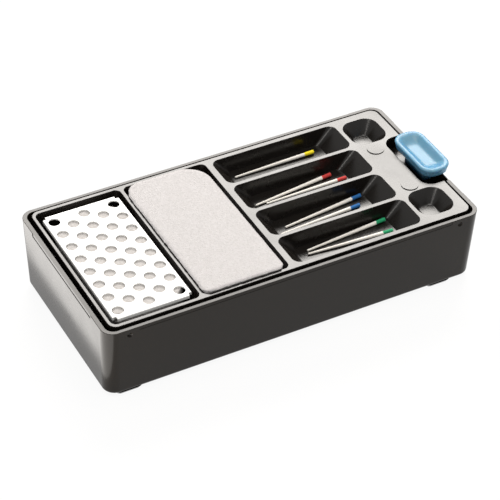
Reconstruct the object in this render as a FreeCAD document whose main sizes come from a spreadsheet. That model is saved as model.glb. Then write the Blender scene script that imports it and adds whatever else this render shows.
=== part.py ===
import FreeCAD, Part
import math
import os
import re
import Sketcher

from FreeCAD import Placement, Rotation, Vector

# An endodontic instrument cassette: a box, a tray that lifts out of it, and what the tray holds.
# Millimetres. X runs along the box, Y to its back, Z up. Every piece is drawn about the middle of
# the box; in the end all are moved so that the origin is on the table under the middle of the
# whole, which the cup makes a little longer at the right.

SIZES = {
    # The box
    "box_length": 125,  # over the rim
    "box_width": 62,  # over the rim
    "box_height": 24.5,  # from the underside of the floor to the rim
    "box_corner": 4,  # radius of the upright corners
    "end_draft": 0.6,  # how far each end wall leans in over its height
    "side_draft": 1.3,  # how far each long wall leans in over its height
    "end_wall": 1.45,  # thickness of the two end walls, which the rim shows
    "side_wall": 1.2,  # thickness of the two long walls
    "box_floor": 1.6,  # thickness
    "bottom_round": 1.2,  # radius where the walls turn under
    "rim_round": 0.12,  # radius of the rim's edges
    "lid_seat_depth": 0.15,  # step cut into the outside of the rim for a lid
    "lid_seat_height": 1.25,  # how far that step goes down
    "lid_seat_end": 10.5,  # where the step stops, from the end of the box
    "dimple_size": 1.9,  # diameter of the catch dimples in the front wall
    "dimple_bottom": 0.7,  # diameter of each at its bottom
    "dimple_depth": 0.55,  # below the wall's surface
    "dimple_end": 7.5,  # centre, from the end of the box
    "dimple_drop": 2.2,  # centre, below the rim
    "gate_depth": 3.2,  # cut in the right rim that the cup reaches over
    "gate_lip": 0.45,  # thin outer lip that the cut leaves
    "gate_lip_drop": 0.3,  # lip, below the rim
    # Feet and rails
    "foot_height": 1,  # the box stands this far off the table
    "foot_length": 9,  # at the floor of the box
    "foot_depth": 6,  # front to back
    "foot_corner": 2,  # radius in plan
    "foot_slope": 35,  # degrees that the sides of a foot lean in
    "foot_left_end": 7.9,  # centre of a left foot, from the left end of the box
    "foot_right_end": 12,  # centre of a right foot, from the right end of the box
    "foot_inset": 0.2,  # from the edge of the underside
    "rail_height": 0.8,  # the tray stands on two rails
    "rail_width": 1.6,  # each rail
    "rail_end": 8.5,  # where each rail stops, from the end of the box
    "rail_spacing": 34,  # between the rails' middles
    # The tray
    "rail_gap": 0.15,  # between the rails and the tray
    "tray_end_gap": 1.05,  # between the rim and a tray in its middle, at each end
    "tray_side_gap": 0.9,  # between the tray and the rim at each side
    "tray_shift": 0.2,  # the loose tray lies this far right of the middle
    "tray_proud": 0.5,  # top of the tray above the rim
    "tray_corner": 2.6,  # radius of its upright corners
    "tray_draft": 1,  # how far its walls lean in over their height
    "tray_floor": 1.2,  # under the deep wells
    "deck_wall": 1.4,  # thickness of the top over the hollow right half
    "skirt_wall": 1.2,  # thickness of the wall round that hollow
    "pocket_wall": 1,  # thickness round each hanging pocket
    "edge_round": 0.12,  # radius of the tray's top edges
    # The two deep wells
    "well_border": 1,  # wall at the left end of the tray
    "well_side_border": 1.15,  # wall at the front and at the back of the tray
    "well_corner": 1.9,  # radius of the upright corners
    "well_divider": 1.2,  # wall between the two
    "well_draft": 0.8,  # how far the walls lean in over their height
    # The four compartments
    "slot_count": 4,  # from the front to the back
    "slot_gap": 2.1,  # between the deep wells and the compartments
    "slot_room": 4.5,  # how much longer each floor is than a paper point
    "slot_side_border": 1.6,  # between the outer ones and the edge of the tray
    "slot_divider": 1.4,  # between one and the next
    "slot_depth": 5.6,  # below the top of the tray
    "slot_ramp": 5.6,  # how far each end slopes in
    "slot_draft": 0.5,  # how far each long wall leans in
    "slot_corner": 2.6,  # radius of the upright corners
    "slot_floor_corner": 1.6,  # the same, at the floor
    # The two small wells
    "cup_well_gap": 1.3,  # between the compartments and the small wells
    "cup_well_border": 3,  # between the small wells and the right edge of the tray
    "cup_well_side_border": 2.8,  # between each and the front or the back of the tray
    "cup_well_length": 12,  # along the box
    "cup_well_width": 12.5,  # across the box
    "cup_well_depth": 4.3,  # below the top of the tray
    "cup_well_corner": 4.2,  # radius of the upright corners
    "cup_well_end_lean": 3.4,  # how far each wall across the box leans in
    "cup_well_side_lean": 2.9,  # how far each wall along the box leans in
    "cup_well_floor_corner": 1.6,  # radius of the corners at the floor
    "cup_well_round": 0.5,  # radius where the walls meet the floor
    # The cup's pocket and the marks beside it
    "pocket_length": 6.6,  # from the right edge of the tray
    "pocket_side_gap": 0.5,  # how much nearer the middle its ends are than the small wells
    "pocket_depth": 4.3,  # below the top of the tray
    "pocket_corner": 3.8,  # radius of the upright corners
    "mark_size": 5.4,  # diameter of the two round pads beside the pocket
    "mark_height": 0.25,  # each pad, above the top of the tray
    "mark_gap": 4,  # centre, left of the pocket
    "mark_inset": 2.9,  # centre, from the pocket's front or back end
    # The perforated plate
    "plate_gap": 1.425,  # between it and its well at each end
    "plate_side_gap": 2.2,  # the same, at the front and at the back
    "plate_sheet": 0.5,  # thickness
    "plate_fold": 1.1,  # height of its folded-down edges
    "plate_notch": 1.2,  # square cut at each corner, so that the edges fold
    "plate_drop": 0.3,  # its top, below the top of the tray
    "plate_bend": 0.3,  # radius of the fold
    "hole_size": 3.65,  # diameter
    "hole_columns": 3,  # columns of the main grid
    "hole_rows": 8,  # rows of the main grid
    "hole_end_margin": 2.76,  # from the outer columns' centres to the plate's edge
    "hole_side_margin": 3.395,  # from the outer rows' centres to the plate's edge
    # Foam and sponge
    "seat_gap": 0.2,  # clearance under and over each soft piece
    "foam_inset": 0.8,  # inside the plate's edge at each end
    "foam_side_inset": 0.85,  # the same, at the front and at the back
    "foam_corner": 4.5,  # radius of its cut corners
    "sponge_left_gap": 0.275,  # between it and its well
    "sponge_right_gap": 1.575,  # the same, at its right
    "sponge_side_gap": 0.35,  # the same, at the front and at the back
    "sponge_proud": 0.6,  # above the top of the tray
    "sponge_corner": 2.4,  # radius of its upright corners
    "sponge_round": 1.2,  # radius of its top edge
    # The cup
    "cup_gap": 1.3,  # between the left side of its pocket and it
    "cup_length": 10.3,  # along the box
    "cup_side_gap": 2.3,  # how far the pocket reaches past each end of it
    "cup_corner": 4.2,  # radius of its upright corners
    "cup_rise": 3.3,  # its brim, above the rim of the box
    "cup_clearance": 0.2,  # between its underside and the gate's lip
    "cup_taper": 0.35,  # how far its outside leans in
    "cup_under_round": 1.2,  # radius of its lower edge
    "cup_brim": 1.3,  # width of the brim along its two long sides
    "cup_brim_end": 1.75,  # width of the brim at its two ends
    "cup_brim_round": 0.6,  # radius of the brim's edges
    "cup_dish_depth": 1.9,  # of the hollow
    "cup_dish_slope": 1.4,  # how far the hollow's long walls lean in
    "cup_dish_end_slope": 2.6,  # how far the hollow's end walls lean in
    "cup_dish_corner": 3.1,  # radius of the hollow's corners
    "cup_plug_length": 3,  # foot that stands in the pocket, along the box
    "cup_plug_end_inset": 4.8,  # foot, from the cup's front and back ends
    "cup_plug_inset": 2.6,  # foot, from the cup's left side
    "cup_plug_corner": 1.2,  # radius of its corners
    "cup_plug_gap": 0.15,  # between its end and the pocket's floor
    # The paper points
    "point_length": 28,  # each point
    "point_thin_end": 0.62,  # diameter
    "point_thick_end": 1.3,  # diameter
    "point_gap": 0.08,  # between a point and the floor it lies on
}

# Where each paper point lies: how many compartments there are in front of its own; how far its
# thin end is from the left end of the floor, as a share of the room that a point has there; how
# far its middle is behind the middle of the compartment, as a share of the width; and its turn,
# in degrees.
POINTS = {
    "paper_point_yellow": (3, 0.2219, 0.1706, 0.6),
    "paper_point_red_1": (2, 0.0277, 0.1741, 6.1),
    "paper_point_red_2": (2, 0.7755, 0.0019, 0.1),
    "paper_point_blue_1": (1, 0.6881, 0.2291, 6.1),
    "paper_point_blue_2": (1, 0.0666, -0.0286, 2.6),
    "paper_point_green_1": (0, 0.8046, 0.3034, 4.2),
    "paper_point_green_2": (0, 0.6686, 0.0178, -4.4),
}

document = FreeCAD.newDocument("InstrumentCassette")
sheet = document.addObject("Spreadsheet::Sheet", "Sizes")
slate = document.addObject("Spreadsheet::Sheet", "Slate")


def fill_sheet():
    """One row for each size: its name, and its number under that alias."""
    for row, (name, number) in enumerate(SIZES.items(), 1):
        sheet.set(f"A{row}", name)
        sheet.set(f"B{row}", str(number))
        sheet.setAlias(f"B{row}", name)
    document.recompute()


def size(name):
    return float(getattr(sheet, name))


def in_sheet(formula):
    """The formula with every size, a word with an underscore, looked up in the sheet."""
    return re.sub(r"[a-z]+(?:_[a-z]+)+", r"Sizes.\g<0>", formula)


def value_of(formula):
    """What a formula comes to now, worked out on a second sheet so that the first stays as it is."""
    slate.set("A1", f"={in_sheet(formula)}")
    slate.recompute()
    return float(slate.get("A1"))


def bind(thing, path, formula):
    """Ties one property or constraint to the sheet."""
    thing.setExpression(path, in_sheet(formula))


# Heights that several pieces share
RIM = "foot_height + box_height"
BOX_FLOOR_TOP = "foot_height + box_floor"
TRAY_TOP = f"{RIM} + tray_proud"
TRAY_BOTTOM = f"{BOX_FLOOR_TOP} + rail_height + rail_gap"
WELL_FLOOR = f"{TRAY_BOTTOM} + tray_floor"
SLOT_FLOOR = f"{TRAY_TOP} - slot_depth"
CUP_WELL_FLOOR = f"{TRAY_TOP} - cup_well_depth"
PLATE_TOP = f"{TRAY_TOP} - plate_drop"
POCKET_FLOOR = f"{TRAY_TOP} - pocket_depth"
CUP_UNDERSIDE = f"{RIM} - gate_lip_drop + cup_clearance"
CUP_TOP = f"{RIM} + cup_rise"

# Plan sizes and places that several pieces share; the deep wells take the length that is left
TRAY_LENGTH = "box_length - 2 * (end_wall + tray_end_gap)"
TRAY_WIDTH = "box_width - 2 * (side_wall + tray_side_gap)"
TRAY_LEFT = f"tray_shift - ({TRAY_LENGTH}) / 2"
TRAY_RIGHT = f"tray_shift + ({TRAY_LENGTH}) / 2"
CUP_WELL_X = f"{TRAY_RIGHT} - cup_well_border - cup_well_length / 2"
CUP_WELL_Y = f"({TRAY_WIDTH}) / 2 - cup_well_side_border - cup_well_width / 2"
SLOT_LENGTH = "point_length + slot_room + 2 * slot_ramp"
SLOT_END = f"{CUP_WELL_X} - cup_well_length / 2 - cup_well_gap"
SLOT_X = f"{SLOT_END} - ({SLOT_LENGTH}) / 2"
SLOT_PITCH = f"({TRAY_WIDTH} - 2 * slot_side_border + slot_divider) / slot_count"
SLOT_WIDTH = f"{SLOT_PITCH} - slot_divider"
SLOT_ROW = f"(slot_count - 1) * {SLOT_PITCH}"
FIRST_SLOT_Y = f"-({SLOT_ROW}) / 2"
WELLS_END = f"{SLOT_END} - ({SLOT_LENGTH}) - slot_gap"
WELL_LENGTH = f"({WELLS_END} - ({TRAY_LEFT}) - well_border - well_divider) / 2"
WELL_WIDTH = f"({TRAY_WIDTH} - 2 * well_side_border)"
FILE_WELL_X = f"{TRAY_LEFT} + well_border + {WELL_LENGTH} / 2"
WELL_PITCH = f"{WELL_LENGTH} + well_divider"
POCKET_START = f"{TRAY_RIGHT} - pocket_length"
POCKET_WIDTH = f"2 * ({CUP_WELL_Y} - cup_well_width / 2 - pocket_side_gap)"
PLATE_LENGTH = f"({WELL_LENGTH} - 2 * plate_gap)"
PLATE_WIDTH = f"({WELL_WIDTH} - 2 * plate_side_gap)"
CUP_START = f"{POCKET_START} + cup_gap"
CUP_X = f"{CUP_START} + cup_length / 2"
CUP_WIDTH = f"({POCKET_WIDTH} - 2 * cup_side_gap)"
TO_ORIGIN = f"(box_length / 2 - ({CUP_START}) - cup_length) / 2"


def add_body(label):
    body = document.addObject("PartDesign::Body", label)
    body.Label = label
    return body


def origin_part(body, role):
    return next(part for part in body.Origin.OriginFeatures if part.Role == role)


def add_sketch(body, name, height, x="0", y="0", role="XY_Plane"):
    """A sketch on one of the body's origin planes, lifted by height and moved to (x, y)."""
    sketch = body.newObject("Sketcher::SketchObject", name)
    sketch.AttachmentSupport = (origin_part(body, role), [""])
    sketch.MapMode = "FlatFace"
    bind(sketch, "AttachmentOffset.Base.x", x)
    bind(sketch, "AttachmentOffset.Base.y", y)
    bind(sketch, "AttachmentOffset.Base.z", height)
    return sketch


def constrain(sketch, name, formula, kind, *where):
    """One driving dimension of a sketch, tied to the sheet."""
    number = sketch.addConstraint(Sketcher.Constraint(kind, *where, value_of(formula)))
    sketch.renameConstraint(number, name)
    bind(sketch, f"Constraints.{name}", formula)


def rounded_rectangle(sketch, length, width, corner):
    """Four lines and four arcs round the sketch's own middle."""
    half_x = value_of(length) / 2
    half_y = value_of(width) / 2
    radius = value_of(corner)
    inner_x = half_x - radius
    inner_y = half_y - radius
    corners = [(inner_x, -inner_y), (inner_x, inner_y), (-inner_x, inner_y), (-inner_x, -inner_y)]
    starts = [(-inner_x, -half_y), (half_x, -inner_y), (inner_x, half_y), (-half_x, inner_y)]
    ends = [(inner_x, -half_y), (half_x, inner_y), (-inner_x, half_y), (-half_x, -inner_y)]
    for turn in range(4):
        line = Part.LineSegment(Vector(*starts[turn], 0), Vector(*ends[turn], 0))
        circle = Part.Circle(Vector(*corners[turn], 0), Vector(0, 0, 1), radius)
        begin = math.radians(90 * turn - 90)
        sketch.addGeometry(line)
        sketch.addGeometry(Part.ArcOfCircle(circle, begin, begin + math.pi / 2))
    for turn in range(4):
        line = 2 * turn
        arc = line + 1
        following = (line + 2) % 8
        sketch.addConstraint(Sketcher.Constraint("Tangent", line, 2, arc, 1))
        sketch.addConstraint(Sketcher.Constraint("Tangent", arc, 2, following, 1))
    for line, direction in ((0, "Horizontal"), (2, "Vertical"), (4, "Horizontal"), (6, "Vertical")):
        sketch.addConstraint(Sketcher.Constraint(direction, line))
    for arc in (3, 5, 7):
        sketch.addConstraint(Sketcher.Constraint("Equal", 1, arc))
    sketch.addConstraint(Sketcher.Constraint("Symmetric", 0, 1, 4, 1, -1, 1))
    constrain(sketch, "length", length, "DistanceX", 6, 1, 2, 1)
    constrain(sketch, "width", width, "DistanceY", 0, 1, 4, 1)
    constrain(sketch, "corner", corner, "Radius", 1)


def rectangle(sketch, name, x, y, length, width):
    """A plain rectangle about (x, y); a sketch can hold several, each with its own name."""
    middle = Vector(value_of(x), value_of(y), 0)
    half_x = value_of(length) / 2
    half_y = value_of(width) / 2
    corners = [Vector(-half_x, -half_y, 0), Vector(half_x, -half_y, 0)]
    corners += [Vector(half_x, half_y, 0), Vector(-half_x, half_y, 0)]
    first = sketch.GeometryCount
    for turn in range(4):
        start = middle + corners[turn]
        end = middle + corners[(turn + 1) % 4]
        sketch.addGeometry(Part.LineSegment(start, end))
    for turn in range(4):
        following = first + (turn + 1) % 4
        sketch.addConstraint(Sketcher.Constraint("Coincident", first + turn, 2, following, 1))
        direction = "Vertical" if turn % 2 else "Horizontal"
        sketch.addConstraint(Sketcher.Constraint(direction, first + turn))
    constrain(sketch, f"{name}_length", length, "DistanceX", first, 1, first, 2)
    constrain(sketch, f"{name}_width", width, "DistanceY", first + 1, 1, first + 1, 2)
    constrain(sketch, f"{name}_x", f"({x}) - ({length}) / 2", "DistanceX", -1, 1, first, 1)
    constrain(sketch, f"{name}_y", f"({y}) - ({width}) / 2", "DistanceY", -1, 1, first, 1)


def round_hole(sketch, name, x, y, diameter):
    """A circle about (x, y); a sketch can hold several, each with its own name."""
    middle = Vector(value_of(x), value_of(y), 0)
    circle = Part.Circle(middle, Vector(0, 0, 1), value_of(diameter) / 2)
    number = sketch.addGeometry(circle)
    constrain(sketch, f"{name}_size", diameter, "Diameter", number)
    constrain(sketch, f"{name}_x", x, "DistanceX", -1, 1, number, 3)
    constrain(sketch, f"{name}_y", y, "DistanceY", -1, 1, number, 3)


def section(body, name, height, x, y, length, width, corner):
    """One rounded rectangle, as a section of a loft or the outline of a pad."""
    sketch = add_sketch(body, name, height, x, y)
    rounded_rectangle(sketch, length, width, corner)
    return sketch


def loft(body, name, lower, upper, cuts=False):
    """Straight-sided solid between two sections, added to the body or cut out of it."""
    kind = "SubtractiveLoft" if cuts else "AdditiveLoft"
    before = volume_of(body)
    feature = body.newObject(f"PartDesign::{kind}", name)
    feature.Profile = upper
    feature.Sections = [lower]
    feature.Ruled = True
    document.recompute()
    if cuts:
        assert volume_of(body) < before, f"{name} cuts nothing"
    return feature


def pad(body, name, sketch, height, downwards=False):
    feature = body.newObject("PartDesign::Pad", name)
    feature.Profile = sketch
    feature.Reversed = downwards
    bind(feature, "Length", height)
    document.recompute()
    return feature


def pocket(body, name, sketch, depth, upwards=False):
    """Cut that goes down from its sketch, or up where it says so."""
    before = volume_of(body)
    feature = body.newObject("PartDesign::Pocket", name)
    feature.Profile = sketch
    feature.Reversed = upwards
    bind(feature, "Length", depth)
    document.recompute()
    assert volume_of(body) < before, f"{name} cuts nothing"
    return feature


def volume_of(body):
    return body.Shape.Volume if body.Tip else 0.0


def flat_face(body, height, near=None, tolerance=1e-4):
    """Name of the largest face that lies flat at a height, or of the one about a point."""
    level = value_of(height)
    found = []
    for number, face in enumerate(body.Tip.Shape.Faces, 1):
        box = face.BoundBox
        if max(abs(box.ZMin - level), abs(box.ZMax - level)) > tolerance:
            continue
        if near is None:
            found.append((-face.Area, number))
        else:
            spot = Vector(value_of(near[0]), value_of(near[1]), level)
            found.append((box.Center.distanceToPoint(spot), number))
    return f"Face{min(found)[1]}"


def round_edges(body, name, height, radius, near=None):
    """Fillet round all edges of one flat face."""
    face = flat_face(body, height, near)
    before = body.Tip
    feature = body.newObject("PartDesign::Fillet", name)
    feature.Base = (before, [face])
    bind(feature, "Radius", radius)
    document.recompute()
    return feature


def repeat(body, name, feature, axis, length, count):
    """Row of copies of one feature along one of the body's axes."""
    pattern = body.newObject("PartDesign::LinearPattern", name)
    pattern.Originals = [feature]
    pattern.Direction = (origin_part(body, axis), [""])
    bind(pattern, "Length", length)
    bind(pattern, "Occurrences", count)
    body.Tip = pattern
    document.recompute()
    return pattern


def make_base_box():
    """The box: a drafted thin wall with a stepped rim, a gate for the cup, feet and rails."""
    body = add_body("base_box")
    under_length = "box_length - 2 * end_draft"
    under_width = "box_width - 2 * side_draft"
    under = section(body, "Underside", "foot_height", "0", "0", under_length, under_width,
                    "box_corner")
    rim = section(body, "RimOutline", RIM, "0", "0", "box_length", "box_width", "box_corner")
    loft(body, "Outside", under, rim)
    round_edges(body, "BottomRound", "foot_height", "bottom_round")
    inner_corner = "box_corner - side_wall"
    floor = section(body, "FloorOutline", BOX_FLOOR_TOP, "0", "0", f"{under_length} - 2 * end_wall",
                    f"{under_width} - 2 * side_wall", inner_corner)
    mouth = section(body, "Mouth", RIM, "0", "0",
                    "box_length - 2 * end_wall", "box_width - 2 * side_wall", inner_corner)
    loft(body, "Hollow", floor, mouth, cuts=True)
    round_edges(body, "RimRound", RIM, "rim_round")
    cut_lid_seat(body)
    cut_dimples(body)
    cut_gate(body)
    add_feet(body)
    add_rails(body)
    return body


def cut_lid_seat(body):
    """Step along the outside of all four rims, which stops short of the corners."""
    sketch = add_sketch(body, "LidSeatOutline", RIM)
    for name, sign in (("front", "-1"), ("back", "1")):
        rectangle(sketch, name, "0", f"{sign} * box_width / 2",
                  "box_length - 2 * lid_seat_end", "2 * lid_seat_depth")
    for name, sign in (("left", "-1"), ("right", "1")):
        rectangle(sketch, name, f"{sign} * box_length / 2", "0",
                  "2 * lid_seat_depth", "box_width - 2 * lid_seat_end")
    pocket(body, "LidSeat", sketch, "lid_seat_height")


def cut_dimples(body):
    """Two blind cone-shaped dimples under the front rim, one near each end."""
    height = f"{RIM} - dimple_drop"
    surface = "box_width / 2 - dimple_drop * side_draft / box_height"
    for side, x in (("Left", "dimple_end - box_length / 2"), ("Right", "box_length / 2 - dimple_end")):
        mouth = add_sketch(body, f"{side}DimpleMouth", "box_width / 2", role="XZ_Plane")
        round_hole(mouth, "mouth", x, height, "dimple_size")
        bottom = add_sketch(body, f"{side}DimpleBottom", f"{surface} - dimple_depth",
                            role="XZ_Plane")
        round_hole(bottom, "bottom", x, height, "dimple_bottom")
        loft(body, f"{side}Dimple", bottom, mouth, cuts=True)


def cut_gate(body):
    """Opening in the right rim beside the cup's pocket, behind a thin outer lip."""
    gate = add_sketch(body, "GateOutline", RIM)
    reach = "end_wall + end_draft"
    rectangle(gate, "gate", f"box_length / 2 - gate_lip - ({reach}) / 2", "0", reach,
              POCKET_WIDTH)
    pocket(body, "Gate", gate, "gate_depth")
    lip = add_sketch(body, "LipOutline", RIM)
    rectangle(lip, "lip", "box_length / 2", "0", "2 * end_wall", POCKET_WIDTH)
    pocket(body, "Lip", lip, "gate_lip_drop")


def add_feet(body):
    """Four low rounded pads with sloping sides."""
    back = "box_width / 2 - side_draft - foot_inset - foot_depth / 2"
    for depth, y in (("Front", f"-({back})"), ("Back", back)):
        for side, x in (("Left", "foot_left_end - box_length / 2"),
                        ("Right", "box_length / 2 - foot_right_end")):
            name = f"{depth}{side}Foot"
            outline = section(body, f"{name}Outline", "foot_height", x, y, "foot_length",
                              "foot_depth", "foot_corner")
            foot = pad(body, name, outline, "foot_height", downwards=True)
            bind(foot, "TaperAngle", "-foot_slope")
            document.recompute()


def add_rails(body):
    """Two rails on the floor, which carry the tray."""
    sketch = add_sketch(body, "RailOutline", BOX_FLOOR_TOP)
    for name, sign in (("front", "-1"), ("back", "1")):
        rectangle(sketch, name, "0", f"{sign} * rail_spacing / 2",
                  "box_length - 2 * rail_end", "rail_width")
    pad(body, "Rails", sketch, "rail_height")


def make_tray_insert():
    """The tray: two deep wells at the left, and a deck with hanging pockets at the right."""
    body = add_body("tray_insert")
    bottom = section(body, "TrayBottom", TRAY_BOTTOM, "tray_shift", "0",
                     f"{TRAY_LENGTH} - 2 * tray_draft", f"{TRAY_WIDTH} - 2 * tray_draft",
                     "tray_corner")
    top = section(body, "TrayTop", TRAY_TOP, "tray_shift", "0", TRAY_LENGTH, TRAY_WIDTH,
                  "tray_corner")
    loft(body, "TrayOutside", bottom, top)
    hollow_underside(body)
    hang_pockets(body)
    cut_deep_wells(body)
    cut_compartments(body)
    cut_small_wells(body)
    cut_cup_pocket(body)
    round_edges(body, "TopRound", TRAY_TOP, "edge_round")
    add_marks(body)
    return body


def hollow_underside(body):
    """Hollow from below under the deck, with a skirt left all round."""
    start = f"{WELLS_END} + skirt_wall"
    end = f"{TRAY_RIGHT} - tray_draft - skirt_wall"
    length = f"({end}) - ({start})"
    width = f"{TRAY_WIDTH} - 2 * (tray_draft + skirt_wall)"
    hollow = section(body, "HollowOutline", TRAY_BOTTOM, f"({end}) - ({length}) / 2", "0",
                     length, width, "tray_corner")
    pocket(body, "UnderHollow", hollow, f"{TRAY_TOP} - deck_wall - ({TRAY_BOTTOM})", upwards=True)


def hang_pockets(body):
    """Outsides of the compartments, the small wells and the cup's pocket, below the deck."""
    in_deck = f"{TRAY_TOP} - deck_wall / 2"
    low = section(body, "SlotShellLow", f"{SLOT_FLOOR} - pocket_wall", SLOT_X, FIRST_SLOT_Y,
                  f"{SLOT_LENGTH} - 2 * slot_ramp + 2 * pocket_wall",
                  f"{SLOT_WIDTH} - 2 * slot_draft + 2 * pocket_wall", "slot_corner")
    high = section(body, "SlotShellHigh", in_deck, SLOT_X, FIRST_SLOT_Y,
                   f"{SLOT_LENGTH} + 2 * pocket_wall", f"{SLOT_WIDTH} + 2 * pocket_wall",
                   "slot_corner")
    shell = loft(body, "SlotShell", low, high)
    repeat(body, "SlotShells", shell, "Y_Axis", SLOT_ROW, "slot_count")
    for name, sign in (("Front", "-1"), ("Back", "1")):
        y = f"{sign} * ({CUP_WELL_Y})"
        low = section(body, f"{name}WellShellLow", f"{CUP_WELL_FLOOR} - pocket_wall", CUP_WELL_X, y,
                      "cup_well_length - 2 * cup_well_end_lean + 2 * pocket_wall",
                      "cup_well_width - 2 * cup_well_side_lean + 2 * pocket_wall",
                      "cup_well_floor_corner + pocket_wall")
        high = section(body, f"{name}WellShellHigh", in_deck, CUP_WELL_X, y,
                       "cup_well_length + 2 * pocket_wall", "cup_well_width + 2 * pocket_wall",
                       "cup_well_corner + pocket_wall")
        loft(body, f"{name}WellShell", low, high)
    outline = add_sketch(body, "PocketShellOutline", in_deck)
    length = "pocket_length + pocket_wall - tray_draft / 2"
    rectangle(outline, "shell", f"{POCKET_START} - pocket_wall + ({length}) / 2", "0", length,
              f"{POCKET_WIDTH} + 2 * pocket_wall")
    pad(body, "PocketShell", outline, "pocket_depth + pocket_wall - deck_wall / 2", downwards=True)


def cut_deep_wells(body):
    """Two equal drafted wells, for the foam and for the sponge."""
    floor = section(body, "WellFloor", WELL_FLOOR, FILE_WELL_X, "0",
                    f"{WELL_LENGTH} - 2 * well_draft", f"{WELL_WIDTH} - 2 * well_draft",
                    "well_corner")
    mouth = section(body, "WellMouth", TRAY_TOP, FILE_WELL_X, "0", WELL_LENGTH, WELL_WIDTH,
                    "well_corner")
    well = loft(body, "DeepWell", floor, mouth, cuts=True)
    repeat(body, "DeepWells", well, "X_Axis", WELL_PITCH, "2")


def cut_compartments(body):
    """Four equal compartments with sloping ends, from which a point is slid up and out."""
    floor = section(body, "SlotFloor", SLOT_FLOOR, SLOT_X, FIRST_SLOT_Y,
                    f"{SLOT_LENGTH} - 2 * slot_ramp", f"{SLOT_WIDTH} - 2 * slot_draft",
                    "slot_floor_corner")
    mouth = section(body, "SlotMouth", TRAY_TOP, SLOT_X, FIRST_SLOT_Y, SLOT_LENGTH, SLOT_WIDTH,
                    "slot_corner")
    slot = loft(body, "Slot", floor, mouth, cuts=True)
    repeat(body, "Slots", slot, "Y_Axis", SLOT_ROW, "slot_count")


def cut_small_wells(body):
    """Two small wells whose four walls lean in to a small flat floor."""
    for name, sign in (("Front", "-1"), ("Back", "1")):
        y = f"{sign} * ({CUP_WELL_Y})"
        floor = section(body, f"{name}WellFloor", CUP_WELL_FLOOR, CUP_WELL_X, y,
                        "cup_well_length - 2 * cup_well_end_lean",
                        "cup_well_width - 2 * cup_well_side_lean", "cup_well_floor_corner")
        mouth = section(body, f"{name}WellMouth", TRAY_TOP, CUP_WELL_X, y, "cup_well_length",
                        "cup_well_width", "cup_well_corner")
        loft(body, f"{name}Well", floor, mouth, cuts=True)
        round_edges(body, f"{name}WellRound", CUP_WELL_FLOOR, "cup_well_round",
                    near=(CUP_WELL_X, y))


def cut_cup_pocket(body):
    """Pocket for the cup's foot, open through the tray's right edge."""
    mouth = section(body, "PocketMouth", TRAY_TOP, TRAY_RIGHT, "0", "2 * pocket_length",
                    POCKET_WIDTH, "pocket_corner")
    pocket(body, "CupPocket", mouth, "pocket_depth")


def add_marks(body):
    """Two low round pads between the compartments and the cup."""
    sketch = add_sketch(body, "MarkOutline", TRAY_TOP)
    x = f"{POCKET_START} - mark_gap"
    y = f"{POCKET_WIDTH} / 2 - mark_inset"
    round_hole(sketch, "front", x, f"-({y})", "mark_size")
    round_hole(sketch, "back", x, y, "mark_size")
    pad(body, "Marks", sketch, "mark_height")


def make_perforated_plate():
    """White sheet with folded-down edges and 38 holes in two staggered grids."""
    body = add_body("perforated_plate")
    outline = add_sketch(body, "PlateOutline", PLATE_TOP, FILE_WELL_X)
    rectangle(outline, "plate", "0", "0", PLATE_LENGTH, PLATE_WIDTH)
    pad(body, "Plate", outline, "plate_fold", downwards=True)
    round_edges(body, "FoldRound", PLATE_TOP, "plate_bend")
    inside = add_sketch(body, "PlateInside", f"{PLATE_TOP} - plate_fold", FILE_WELL_X)
    rectangle(inside, "inside", "0", "0", f"{PLATE_LENGTH} - 2 * plate_sheet",
              f"{PLATE_WIDTH} - 2 * plate_sheet")
    pocket(body, "PlateHollow", inside, "plate_fold - plate_sheet", upwards=True)
    notches = add_sketch(body, "NotchOutline", PLATE_TOP, FILE_WELL_X)
    for name, x, y in (("fl", "-1", "-1"), ("fr", "1", "-1"), ("bl", "-1", "1"), ("br", "1", "1")):
        rectangle(notches, name, f"{x} * {PLATE_LENGTH} / 2", f"{y} * {PLATE_WIDTH} / 2",
                  "2 * plate_notch", "2 * plate_notch")
    pocket(body, "Notches", notches, "plate_fold")
    across = f"({PLATE_LENGTH} - 2 * hole_end_margin)"
    along = f"({PLATE_WIDTH} - 2 * hole_side_margin)"
    column_pitch = f"{across} / (hole_columns - 1)"
    row_pitch = f"{along} / (hole_rows - 1)"
    drill_grid(body, "MainGrid", "hole_columns", "hole_rows", across, along)
    drill_grid(body, "BetweenGrid", "hole_columns - 1", "hole_rows - 1",
               f"{across} - {column_pitch}", f"{along} - {row_pitch}")
    return body


def drill_grid(body, name, columns, rows, across, along):
    """Holes in columns and rows about the plate's middle, from one hole at the front left."""
    sketch = add_sketch(body, f"{name}Hole", PLATE_TOP, FILE_WELL_X)
    round_hole(sketch, "first", f"-({across}) / 2", f"-({along}) / 2", "hole_size")
    first = pocket(body, f"{name}First", sketch, "plate_fold")
    grid = body.newObject("PartDesign::MultiTransform", name)
    grid.Originals = [first]
    steps = []
    for axis, length, count in (("X_Axis", across, columns), ("Y_Axis", along, rows)):
        row = body.newObject("PartDesign::LinearPattern", f"{name}{axis[0]}")
        row.Direction = (origin_part(body, axis), [""])
        bind(row, "Length", length)
        bind(row, "Occurrences", count)
        steps.append(row)
    grid.Transformations = steps
    body.Tip = grid
    document.recompute()


def make_file_foam():
    """Foam block under the plate; instruments stand in it."""
    body = add_body("file_foam")
    bottom = f"{WELL_FLOOR} + seat_gap"
    top = f"{PLATE_TOP} - plate_sheet - seat_gap"
    outline = section(body, "FoamOutline", bottom, FILE_WELL_X, "0",
                      f"{PLATE_LENGTH} - 2 * foam_inset", f"{PLATE_WIDTH} - 2 * foam_side_inset",
                      "foam_corner")
    pad(body, "Foam", outline, f"{top} - ({bottom})")
    return body


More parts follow.
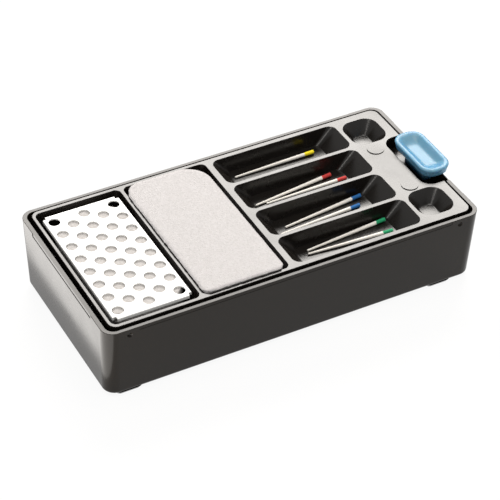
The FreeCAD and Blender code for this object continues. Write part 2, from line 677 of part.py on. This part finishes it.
def make_sponge_pad():
    """Sponge that fills the second well and stands a little proud of the tray."""
    body = add_body("sponge_pad")
    x = f"{FILE_WELL_X} + {WELL_PITCH} - (sponge_right_gap - sponge_left_gap) / 2"
    length = f"{WELL_LENGTH} - sponge_left_gap - sponge_right_gap"
    width = f"{WELL_WIDTH} - 2 * sponge_side_gap"
    low = section(body, "SpongeLow", f"{WELL_FLOOR} + seat_gap", x, "0",
                  f"{length} - 2 * well_draft", f"{width} - 2 * well_draft", "sponge_corner")
    high = section(body, "SpongeHigh", f"{TRAY_TOP} + sponge_proud", x, "0", length, width,
                   "sponge_corner")
    loft(body, "Sponge", low, high)
    round_edges(body, "SpongeRound", f"{TRAY_TOP} + sponge_proud", "sponge_round")
    return body


def make_blue_cup():
    """Dish with a thick rounded brim, on a foot that stands in the tray's pocket."""
    body = add_body("blue_cup")
    under = section(body, "CupUnder", CUP_UNDERSIDE, CUP_X, "0", "cup_length - 2 * cup_taper",
                    f"{CUP_WIDTH} - 2 * cup_taper", "cup_corner - cup_taper")
    brim = section(body, "CupBrim", CUP_TOP, CUP_X, "0", "cup_length", CUP_WIDTH, "cup_corner")
    loft(body, "CupOutside", under, brim)
    round_edges(body, "CupUnderRound", CUP_UNDERSIDE, "cup_under_round")
    dish_length = "cup_length - 2 * cup_brim"
    dish_width = f"{CUP_WIDTH} - 2 * cup_brim_end"
    floor = section(body, "DishFloor", f"{CUP_TOP} - cup_dish_depth", CUP_X, "0",
                    f"{dish_length} - 2 * cup_dish_slope", f"{dish_width} - 2 * cup_dish_end_slope",
                    "cup_dish_corner - cup_dish_slope")
    mouth = section(body, "DishMouth", CUP_TOP, CUP_X, "0", dish_length, dish_width,
                    "cup_dish_corner")
    loft(body, "Dish", floor, mouth, cuts=True)
    round_edges(body, "BrimRound", CUP_TOP, "cup_brim_round")
    plug_x = f"{CUP_START} + cup_plug_inset + cup_plug_length / 2"
    plug = section(body, "PlugOutline", CUP_UNDERSIDE, plug_x, "0", "cup_plug_length",
                   f"{CUP_WIDTH} - 2 * cup_plug_end_inset", "cup_plug_corner")
    pad(body, "Plug", plug, f"{CUP_UNDERSIDE} - ({POCKET_FLOOR}) - cup_plug_gap", downwards=True)
    return body


def make_paper_point(label, slots_before, along, across, turn):
    """Tapered point that lies on a compartment's floor, thin end to the left."""
    point = document.addObject("Part::Cone", label)
    point.Label = label
    bind(point, "Radius1", "point_thin_end / 2")
    bind(point, "Radius2", "point_thick_end / 2")
    bind(point, "Height", "point_length")
    thin = size("point_thin_end") / 2
    growth = (size("point_thick_end") - size("point_thin_end")) / 2
    lift = math.degrees(math.asin(growth / size("point_length")))
    heading = Rotation(Vector(0, 0, 1), turn)
    lean = Rotation(Vector(0, 1, 0), 90 - lift)
    lie = heading.multiply(lean)
    to_middle = lie.multVec(Vector(0, 0, size("point_length") / 2))
    floor_start = f"{SLOT_END} - ({SLOT_LENGTH}) + slot_ramp"
    slot_y = f"{FIRST_SLOT_Y} + {slots_before} * {SLOT_PITCH}"
    place = Vector(value_of(f"{floor_start} + {along} * slot_room"),
                   value_of(f"{slot_y} + {across} * ({SLOT_WIDTH})") - to_middle.y,
                   value_of(SLOT_FLOOR) + size("point_gap") + thin)
    point.Placement = Placement(place, lie)
    return point


def move_to_origin(parts):
    """Puts the origin under the middle of the whole, with the cup counted in."""
    for part in parts:
        place = part.Placement
        place.Base.x += value_of(TO_ORIGIN)
        part.Placement = place
    document.recompute()


def check_document():
    """Stops if any object failed to build."""
    for thing in document.Objects:
        assert "Invalid" not in thing.State and "Error" not in thing.State, f"{thing.Label} failed"


def write_parts(parts):
    os.makedirs("parts", exist_ok=True)
    for part in parts:
        assert not part.Shape.isNull() and part.Shape.isValid(), f"{part.Label} is not a good solid"
        print(part.Label, len(part.Shape.Solids), round(part.Shape.Volume, 1))
    for part in parts:
        part.Shape.exportStep(f"parts/{part.Label}.step")


fill_sheet()
made = [make_base_box(), make_tray_insert(), make_perforated_plate(), make_file_foam()]
made += [make_sponge_pad(), make_blue_cup()]
made += [make_paper_point(label, *where) for label, where in POINTS.items()]
move_to_origin(made)
check_document()
write_parts(made)
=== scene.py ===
import math

import bmesh
import bpy
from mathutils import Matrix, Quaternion, Vector, noise


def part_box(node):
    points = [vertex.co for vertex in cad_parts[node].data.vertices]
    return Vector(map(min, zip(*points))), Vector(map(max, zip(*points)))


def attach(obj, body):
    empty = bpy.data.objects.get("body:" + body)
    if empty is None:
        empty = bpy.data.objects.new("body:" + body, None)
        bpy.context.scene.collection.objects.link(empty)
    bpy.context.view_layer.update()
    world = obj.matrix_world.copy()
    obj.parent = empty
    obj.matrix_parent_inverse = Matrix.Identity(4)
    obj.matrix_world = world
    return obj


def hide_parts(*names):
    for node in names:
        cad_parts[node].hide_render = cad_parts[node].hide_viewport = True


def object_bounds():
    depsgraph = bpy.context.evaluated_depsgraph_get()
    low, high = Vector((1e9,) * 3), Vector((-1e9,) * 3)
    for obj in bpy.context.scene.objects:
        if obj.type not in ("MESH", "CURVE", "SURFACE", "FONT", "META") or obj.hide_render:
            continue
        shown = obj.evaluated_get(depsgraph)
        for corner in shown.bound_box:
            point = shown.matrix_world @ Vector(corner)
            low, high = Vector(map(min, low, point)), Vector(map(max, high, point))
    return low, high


MM = 0.001

# The photograph's camera, about a point just under the front of the compartments
CAMERA_AIM = Vector((-4.85, -6.2, 16.9)) * MM
CAMERA_AZIMUTH = -29.068
CAMERA_ELEVATION = 39.681
CAMERA_ROLL = 1.49
CAMERA_DISTANCE = 603 * MM
CAMERA_LENS = 144.47
CAMERA_SENSOR = 36
CAMERA_NEAR = 0.01

# Half the width of the floor, in metres
FLOOR_REACH = 3

# How much of what the camera and reflections see of the floor is plain white
FLOOR_WHITE = 0.92

# A lamp's watts for each square metre of its face and each unit of brightness
LAMP_WATTS = 4
LAMP_COLOUR = "FFFBF6"

# The light table, in metres: its width and length, its gap to the cassette's left side, the middle
# of its length and its height over the floor
TABLE_WIDTH = 0.44
TABLE_LENGTH = 0.6
TABLE_GAP = 0.00465
TABLE_MIDDLE = 0.15
TABLE_HEIGHT = 0.001

# The upright edges of a block, by whether each is at its right and at its back
FRONT_LEFT = (False, False)
FRONT_RIGHT = (True, False)
BACK_LEFT = (False, True)
BACK_RIGHT = (True, True)

# Lumps of unevenness for each metre of foam: its grain, its slow waves and its frayed edge
GRAIN_LUMPS = 700
WAVE_LUMPS = 160
FRAY_LUMPS = 1500

# Points along each rounded corner of the cup
CORNER_STEPS = 10

# The cup, in millimetres: from its underside to the top of its box, the least radius of a ring's
# corners and that of its outline, and how much more the hollow comes in at its ends
CUP_DEPTH = 3.4
CUP_LEAST_CORNER = 0.9
CUP_CORNER = 4.2
CUP_END_SLOPE = 0.8

# The foot under the cup: half its length and width, its corners' radius, and its middle from the
# cup's left side
FOOT_HALF_LENGTH = 1.5
FOOT_HALF_WIDTH = 6
FOOT_CORNER = 1.2
FOOT_PLACE = 4.1

# How much of a paper point's thick end is dyed
DYED_LENGTH = 3.3

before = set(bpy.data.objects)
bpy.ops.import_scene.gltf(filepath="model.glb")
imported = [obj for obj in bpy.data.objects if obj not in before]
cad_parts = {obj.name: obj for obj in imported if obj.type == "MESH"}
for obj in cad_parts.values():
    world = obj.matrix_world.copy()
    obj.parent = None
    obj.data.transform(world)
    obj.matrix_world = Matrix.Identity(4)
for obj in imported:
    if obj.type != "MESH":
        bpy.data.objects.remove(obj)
cad_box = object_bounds()


def linear(code):
    """An sRGB hex colour as the linear colour that the shaders take."""
    channels = [int(code[start:start + 2], 16) / 255 for start in (0, 2, 4)]
    return [c / 12.92 if c <= 0.04045 else ((c + 0.055) / 1.055) ** 2.4 for c in channels] + [1]


def add(tree, kind, settings=None, values=None, links=None):
    """A shader node with its settings, its sockets' values, and the outputs that feed it."""
    node = tree.nodes.new(f"ShaderNode{kind}")
    for name, setting in (settings or {}).items():
        setattr(node, name, setting)
    for socket, value in (values or {}).items():
        node.inputs[socket].default_value = value
    for socket, output in (links or {}).items():
        tree.links.new(output, node.inputs[socket])
    return node


def new_material(name):
    """An empty node material and its tree."""
    material = bpy.data.materials.new(name)
    material.use_nodes = True
    material.node_tree.nodes.clear()
    return material, material.node_tree


def finish_material(tree, surface):
    add(tree, "OutputMaterial", links={"Surface": surface})


def object_noise(tree, size_mm, detail=2, roughness=0.5):
    """Noise whose lumps are about size_mm across, in the object's own coordinates."""
    place = add(tree, "TexCoord")
    return add(tree, "TexNoise", values={"Scale": 1000 / size_mm, "Detail": detail,
                                         "Roughness": roughness},
               links={"Vector": place.outputs["Object"]}).outputs["Fac"]


def spread(tree, source, low, high):
    """The source's middle range stretched to run from low to high."""
    return add(tree, "MapRange", values={"From Min": 0.3, "From Max": 0.7, "To Min": low,
                                         "To Max": high},
               links={"Value": source}).outputs["Result"]


def bump(tree, height, depth_mm, under=None):
    """Raises the surface by up to depth_mm where height is 1."""
    links = {"Height": height}
    if under:
        links["Normal"] = under
    return add(tree, "Bump", values={"Strength": 1, "Distance": depth_mm * MM},
               links=links).outputs["Normal"]


def polished_black_abs():
    """ABS from a polished mould: near black, glossy, a little wavy, with a faint handling haze."""
    material, tree = new_material("polished_black_abs")
    haze = spread(tree, object_noise(tree, 14, detail=4), low=0.17, high=0.24)
    waves = object_noise(tree, 9, detail=1)
    surface = add(tree, "BsdfPrincipled", values={"Base Color": linear("140E06"), "IOR": 1.33},
                  links={"Roughness": haze, "Normal": bump(tree, waves, 0.012)})
    finish_material(tree, surface.outputs["BSDF"])
    return material


def grained_black_abs():
    """ABS from a finely grained mould: satin, so the softbox shows as an even pale sheen."""
    material, tree = new_material("grained_black_abs")
    grain = object_noise(tree, 0.45)
    sheen = spread(tree, object_noise(tree, 11, detail=3), low=0.23, high=0.31)
    surface = add(tree, "BsdfPrincipled", values={"Base Color": linear("161310"), "IOR": 1.5},
                  links={"Roughness": sheen, "Normal": bump(tree, grain, 0.006)})
    finish_material(tree, surface.outputs["BSDF"])
    return material


def white_powder_coat():
    """Powder coat on sheet metal: clean white, half gloss, with a faint orange peel."""
    material, tree = new_material("white_powder_coat")
    peel = object_noise(tree, 1.6, detail=1)
    surface = add(tree, "BsdfPrincipled", values={"Base Color": linear("FAFAF8"), "Roughness": 0.38,
                                                  "IOR": 1.5},
                  links={"Normal": bump(tree, peel, 0.012)})
    finish_material(tree, surface.outputs["BSDF"])
    return material


def open_cell_foam(name, light, dark, pore_mm):
    """Open-cell foam: matt, with small dark pores and a grain that catches the light."""
    material, tree = new_material(name)
    place = add(tree, "TexCoord")
    cells = add(tree, "TexVoronoi", values={"Scale": 1000 / pore_mm},
                links={"Vector": place.outputs["Object"]}).outputs["Distance"]
    grain = object_noise(tree, pore_mm * 1.5, detail=3, roughness=0.6)
    shade = add(tree, "Mix", settings={"data_type": "RGBA"},
                values={"A": linear(dark), "B": linear(light)},
                links={"Factor": spread(tree, grain, 0, 1)})
    surface = add(tree, "BsdfPrincipled", values={"Roughness": 0.95, "IOR": 1.3},
                  links={"Base Color": shade.outputs["Result"],
                         "Normal": bump(tree, cells, 0.1, bump(tree, grain, 0.12))})
    finish_material(tree, surface.outputs["BSDF"])
    return material


def milky_blue_plastic():
    """Soft moulded plastic, milky blue: light spreads inside it, and faces seen edge-on are painted
    a deeper blue as painted shade.
    """
    material, tree = new_material("milky_blue_plastic")
    ripple = object_noise(tree, 4, detail=1)
    # Painted shade: the blue runs from 6A94A7 where a face turns to the camera to a deeper 3B80AB
    # where it is seen edge-on
    edge_on_shade = add(tree, "LayerWeight", values={"Blend": 0.35}).outputs["Facing"]
    tint_with_painted_shade = add(tree, "Mix", settings={"data_type": "RGBA"},
               values={"A": linear("6A94A7"), "B": linear("3B80AB")}, links={"Factor": edge_on_shade})
    surface = add(tree, "BsdfPrincipled",
                  values={"Roughness": 0.36, "IOR": 1.4, "Subsurface Weight": 0.6,
                          "Subsurface Radius": (0.4, 0.9, 1.2), "Subsurface Scale": 2 * MM},
                  links={"Base Color": tint_with_painted_shade.outputs["Result"], "Normal": bump(tree, ripple, 0.01)})
    finish_material(tree, surface.outputs["BSDF"])
    return material


def dyed_paper(name, dye, dyed_from):
    """Rolled absorbent paper, its thick end dipped in dye up to dyed_from, in metres along X."""
    material, tree = new_material(name)
    place = add(tree, "TexCoord")
    along = add(tree, "SeparateXYZ", links={"Vector": place.outputs["Object"]}).outputs["X"]
    bleed = spread(tree, object_noise(tree, 0.5), low=-0.15 * MM, high=0.15 * MM)
    reach = add(tree, "Math", values={1: dyed_from}, settings={"operation": "SUBTRACT"},
                links={0: along}).outputs["Value"]
    ragged = add(tree, "Math", links={0: reach, 1: bleed}).outputs["Value"]
    dyed = add(tree, "MapRange", values={"From Min": -0.1 * MM, "From Max": 0.1 * MM},
               links={"Value": ragged}).outputs["Result"]
    fibres = object_noise(tree, 0.35, detail=3, roughness=0.6)
    paper = add(tree, "Mix", settings={"data_type": "RGBA"},
                values={"A": linear("E4DFD6"), "B": linear("F6F3EC")},
                links={"Factor": fibres}).outputs["Result"]
    shade = add(tree, "Mix", settings={"data_type": "RGBA"}, values={"B": linear(dye)},
                links={"Factor": dyed, "A": paper}).outputs["Result"]
    surface = add(tree, "BsdfPrincipled", values={"Roughness": 0.8, "IOR": 1.45},
                  links={"Base Color": shade, "Normal": bump(tree, fibres, 0.05)})
    finish_material(tree, surface.outputs["BSDF"])
    return material


def white_sweep():
    """Pale studio floor; the camera and reflections see it as white, with a faint shadow left."""
    material, tree = new_material("white_sweep")
    path = add(tree, "LightPath")
    seen = add(tree, "Math", settings={"operation": "MAXIMUM"},
               links={0: path.outputs["Is Camera Ray"], 1: path.outputs["Is Glossy Ray"]})
    seen = add(tree, "Math", settings={"operation": "MAXIMUM"},
               links={0: seen.outputs["Value"], 1: path.outputs["Is Transmission Ray"]})
    share = add(tree, "Math", settings={"operation": "MULTIPLY"}, values={1: FLOOR_WHITE},
                links={0: seen.outputs["Value"]})
    paint = add(tree, "BsdfDiffuse", values={"Color": linear("F4F3F1")})
    white = add(tree, "Emission", values={"Color": linear("FFFFFF"), "Strength": 1})
    mixed = add(tree, "MixShader", links={"Fac": share.outputs["Value"], 1: paint.outputs["BSDF"],
                                          2: white.outputs["Emission"]})
    finish_material(tree, mixed.outputs["Shader"])
    return material


def dress(node, material):
    """Gives a CAD piece its real finish."""
    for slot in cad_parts[node].material_slots:
        slot.material = material


def place_mesh(name, mesh_builder, material):
    """A new object at the origin from a finished bmesh."""
    mesh = bpy.data.meshes.new(name)
    mesh_builder.to_mesh(mesh)
    mesh_builder.free()
    piece = bpy.data.objects.new(name, mesh)
    bpy.context.scene.collection.objects.link(piece)
    mesh.materials.append(material)
    return piece


def soft_block(low, high, corners, grid, levels):
    """A block cut into a grid; corners gives each upright edge a radius and its segments.

    levels are the heights at which it is cut across, besides its top and bottom.
    """
    size = high - low
    middle = (low + high) / 2
    block = bmesh.new()
    bmesh.ops.create_cube(block, size=1)
    bmesh.ops.scale(block, vec=size, verts=block.verts)
    bmesh.ops.translate(block, vec=middle, verts=block.verts)
    for (right, back), (radius, segments) in corners.items():
        edge = next(e for e in block.edges
                    if abs(e.verts[0].co.z - e.verts[1].co.z) > size.z / 2
                    and (e.verts[0].co.x > middle.x) == right
                    and (e.verts[0].co.y > middle.y) == back)
        bmesh.ops.bevel(block, geom=[edge], offset=radius, segments=segments, profile=0.5,
                        affect="EDGES", material=-1)
    for axis in range(2):
        count = int(size[axis] / grid)
        for step in range(1, count):
            cut_across(block, axis, low[axis] + size[axis] * step / count)
    for level in levels:
        cut_across(block, 2, level)
    bmesh.ops.triangulate(block, faces=[f for f in block.faces if len(f.verts) > 4])
    return block


def cut_across(block, axis, where):
    """Divides the faces of a mesh along one plane square to an axis."""
    place = Vector((0, 0, 0))
    place[axis] = where
    normal = Vector((0, 0, 0))
    normal[axis] = 1
    everything = block.verts[:] + block.edges[:] + block.faces[:]
    bmesh.ops.bisect_plane(block, geom=everything, plane_co=place, plane_no=normal)


def lean_and_roughen(block, low, high, lean, crown, grit, seed):
    """Leans the sides in towards the bottom, crowns the top and makes the surface uneven."""
    middle = (low + high) / 2
    half = (high - low) / 2
    block.normal_update()
    places = []
    for vertex in block.verts:
        offset = vertex.co - middle
        rise = (vertex.co.z - low.z) / (high.z - low.z)
        place = vertex.co.copy()
        place.x -= lean * (1 - rise) * offset.x / half.x
        place.y -= lean * (1 - rise) * offset.y / half.y
        arch = (1 - (offset.x / half.x) ** 2) * (1 - (offset.y / half.y) ** 2)
        place.z += crown * arch * rise ** 6
        uneven = noise.noise(vertex.co * GRAIN_LUMPS + Vector((seed, 0, 0)))
        uneven += noise.noise(vertex.co * WAVE_LUMPS + Vector((0, seed, 0)))
        places.append(place + vertex.normal * grit * uneven)
    for vertex, place in zip(block.verts, places):
        vertex.co = place


def spill_over_edge(block, low, above, reach):
    """Pushes the sponge's soft top out over the tray's edge at the left and at the front."""
    near_side = 0.1 * MM
    for vertex in block.verts:
        if vertex.co.z < above:
            continue
        frayed = reach * (1 + 0.5 * noise.noise(vertex.co * FRAY_LUMPS))
        if vertex.co.x < low.x + near_side:
            vertex.co.x -= frayed
        if vertex.co.y < low.y + near_side:
            vertex.co.y -= frayed


def smooth(piece):
    for polygon in piece.data.polygons:
        polygon.use_smooth = True


def make_sponge(material):
    """The sponge pad: it fills its well but for the two back corners, and frays over the edge."""
    low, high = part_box("sponge_pad")
    corners = {FRONT_LEFT: (1.5 * MM, 4), FRONT_RIGHT: (1.5 * MM, 4),
               BACK_LEFT: (4.5 * MM, 3), BACK_RIGHT: (8 * MM, 10)}
    tray_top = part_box("tray_insert")[1].z
    levels = (tray_top - 4 * MM, tray_top - 0.3 * MM, high.z - 0.15 * MM)
    block = soft_block(low, high, corners, grid=0.9 * MM, levels=levels)
    spill_over_edge(block, low, above=high.z - 0.2 * MM, reach=0.45 * MM)
    lean_and_roughen(block, low, high, lean=0.8 * MM, crown=0.15 * MM, grit=0.04 * MM, seed=3)
    piece = place_mesh("cleaning_sponge", block, material)
    smooth(piece)
    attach(piece, "sponge")
    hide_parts("sponge_pad")


def make_foam(material):
    """The foam under the plate, its corners cut off, a little wider and higher than its solid."""
    low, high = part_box("file_foam")
    wider = Vector((0.25, 0.3, 0)) * MM
    high = high + wider + Vector((0, 0, 0.1 * MM))
    low = low - wider
    corners = {FRONT_LEFT: (3.2 * MM, 1), FRONT_RIGHT: (5.4 * MM, 1),
               BACK_LEFT: (8.4 * MM, 1), BACK_RIGHT: (6 * MM, 1)}
    block = soft_block(low, high, corners, grid=1.2 * MM, levels=(high.z - 3 * MM,))
    lean_and_roughen(block, low, high, lean=0.1 * MM, crown=0.02 * MM, grit=0.02 * MM, seed=11)
    piece = place_mesh("file_foam_block", block, material)
    smooth(piece)
    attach(piece, "foam")
    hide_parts("file_foam")


def rounded_ring(middle, half_length, half_width, corner, height):
    """Points round a rounded rectangle."""
    points = []
    for turn in range(4):
        start = math.pi / 2 * turn
        across = half_length - corner if turn in (0, 3) else corner - half_length
        along = half_width - corner if turn < 2 else corner - half_width
        for step in range(CORNER_STEPS):
            angle = start + math.pi / 2 * step / (CORNER_STEPS - 1)
            points.append(Vector((middle.x + across + corner * math.cos(angle),
                                  middle.y + along + corner * math.sin(angle), height)))
    return points


def skin_rings(cup, rings):
    """Closes a stack of rings of equal count into one solid skin."""
    loops = []
    for ring in rings:
        points = [cup.verts.new(point) for point in ring]
        loops.append([cup.edges.new(ends) for ends in zip(points, points[1:] + points[:1])])
    for lower, upper in zip(loops, loops[1:]):
        bmesh.ops.bridge_loops(cup, edges=lower + upper)
    for end in (loops[0], loops[-1]):
        bmesh.ops.edgeloop_fill(cup, edges=end)
    bmesh.ops.recalc_face_normals(cup, faces=cup.faces)


def make_cup(material):
    """The cup, its brim and hollow flowing into each other, and the foot that it stands on.

    Each ring of its skin has an inset from the outline and a height over the underside, in
    millimetres: first up the outside and over the brim, then down into the hollow.
    """
    low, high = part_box("blue_cup")
    middle = (low + high) / 2
    half = (high - low) / 2
    underside = high.z - CUP_DEPTH * MM
    outside = ((2.4, 0), (1.5, 0.02), (0.9, 0.25), (0.5, 0.75), (0.35, 1.4), (0.15, 2.4),
               (0.03, 2.85), (0.1, 3.1), (0.3, 3.28), (0.65, 3.38), (1, 3.38))
    hollow = ((1.4, 3.22), (1.75, 2.9), (2.2, 2.4), (2.7, 1.95), (3.1, 1.7), (3.6, 1.58))
    cup = bmesh.new()
    rings = []
    brim = outside[-1][0]
    for path, end_slope in ((outside, 0), (hollow, CUP_END_SLOPE)):
        for inset, rise in path:
            end_inset = inset + end_slope * (inset - brim)
            corner = max(CUP_LEAST_CORNER, CUP_CORNER - inset)
            rings.append(rounded_ring(middle, half.x - inset * MM, half.y - end_inset * MM,
                                      corner * MM, underside + rise * MM))
    skin_rings(cup, rings)
    foot = Vector((low.x + FOOT_PLACE * MM, 0, 0))
    skin_rings(cup, [rounded_ring(foot, FOOT_HALF_LENGTH * MM, FOOT_HALF_WIDTH * MM,
                                  FOOT_CORNER * MM, height)
                     for height in (low.z, underside + 0.5 * MM)])
    piece = place_mesh("soft_blue_cup", cup, material)
    smooth(piece)
    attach(piece, "cup")
    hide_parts("blue_cup")


def softbox(name, place, aim, width, height, radiance):
    """A rectangular lamp of an even brightness, which the camera doesn't see."""
    data = bpy.data.lights.new(name, "AREA")
    data.shape = "RECTANGLE"
    data.size = width
    data.size_y = height
    data.energy = LAMP_WATTS * width * height * radiance
    data.color = linear(LAMP_COLOUR)[:3]
    lamp = bpy.data.objects.new(name, data)
    bpy.context.scene.collection.objects.link(lamp)
    lamp.location = place
    lamp.rotation_mode = "QUATERNION"
    lamp.rotation_quaternion = (Vector(place) - Vector(aim)).to_track_quat("Z", "Y")
    lamp.visible_camera = False


def light_the_scene():
    """Softboxes behind and above, a light table at the left, a strip at the front left, a sky."""
    cassette = (0, 0, 0.02)
    softbox("back_softbox", (0.42, 0.70, 0.68), cassette, width=0.75, height=0.5, radiance=10)
    table_x = cad_box[0][0] - TABLE_GAP - TABLE_WIDTH / 2
    softbox("light_table", (table_x, TABLE_MIDDLE, TABLE_HEIGHT), (table_x, TABLE_MIDDLE, 1),
            width=TABLE_WIDTH, height=TABLE_LENGTH, radiance=1.9)
    softbox("front_left_strip", (-0.7, -0.42, 0.45), cassette, width=0.12, height=0.5, radiance=6)
    softbox("top_softbox", (0, -0.1, 1), cassette, width=0.6, height=0.6, radiance=3)
    world = bpy.data.worlds.new("studio")
    bpy.context.scene.world = world
    world.use_nodes = True
    tree = world.node_tree
    tree.nodes.clear()
    path = add(tree, "LightPath")
    sky = add(tree, "Background", values={"Color": linear("FFFFFF"), "Strength": 0.5})
    white = add(tree, "Background", values={"Color": linear("FFFFFF"), "Strength": 1})
    mixed = add(tree, "MixShader", links={"Fac": path.outputs["Is Camera Ray"],
                                          1: sky.outputs["Background"],
                                          2: white.outputs["Background"]})
    add(tree, "OutputWorld", links={"Surface": mixed.outputs["Shader"]})


def lay_floor():
    """The floor that the feet stand on."""
    sheet = bmesh.new()
    bmesh.ops.create_grid(sheet, x_segments=1, y_segments=1, size=FLOOR_REACH)
    floor = place_mesh("studio_floor", sheet, white_sweep())


def aim_camera():
    """The camera at the photograph's viewing angle."""
    azimuth = math.radians(CAMERA_AZIMUTH)
    elevation = math.radians(CAMERA_ELEVATION)
    level = math.cos(elevation)
    back = Vector((math.sin(azimuth) * level, -math.cos(azimuth) * level, math.sin(elevation)))
    data = bpy.data.cameras.new("photo_camera")
    data.sensor_width = CAMERA_SENSOR
    data.lens = CAMERA_LENS
    data.clip_start = CAMERA_NEAR
    camera = bpy.data.objects.new("photo_camera", data)
    bpy.context.scene.collection.objects.link(camera)
    camera.location = CAMERA_AIM + back * CAMERA_DISTANCE
    turn = Quaternion((0, 0, 1), math.radians(CAMERA_ROLL))
    camera.rotation_mode = "QUATERNION"
    camera.rotation_quaternion = back.to_track_quat("Z", "Y") @ turn
    bpy.context.scene.camera = camera


def dress_points():
    """Each paper point in white paper with its own dye on the last few millimetres."""
    dyes = {"yellow": "F2DC1E", "red": "C03A36", "blue": "1F62A0", "green": "1F9A66"}
    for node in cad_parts:
        if not node.startswith("paper_point_"):
            continue
        dye = dyes[node.split("_")[2]]
        thick_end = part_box(node)[1].x
        dress(node, dyed_paper(f"dyed_{node}", dye, thick_end - DYED_LENGTH * MM))


aim_camera()
lay_floor()
light_the_scene()
dress("base_box", polished_black_abs())
dress("tray_insert", grained_black_abs())
dress("perforated_plate", white_powder_coat())
dress_points()
make_sponge(open_cell_foam("cellulose_sponge", "BFBCBC", "B1AEAD", 0.4))
make_foam(open_cell_foam("polyurethane_foam", "BAB7B5", "A8A4A1", 0.5))
make_cup(milky_blue_plastic())

bpy.context.scene.view_settings.view_transform = "Standard"
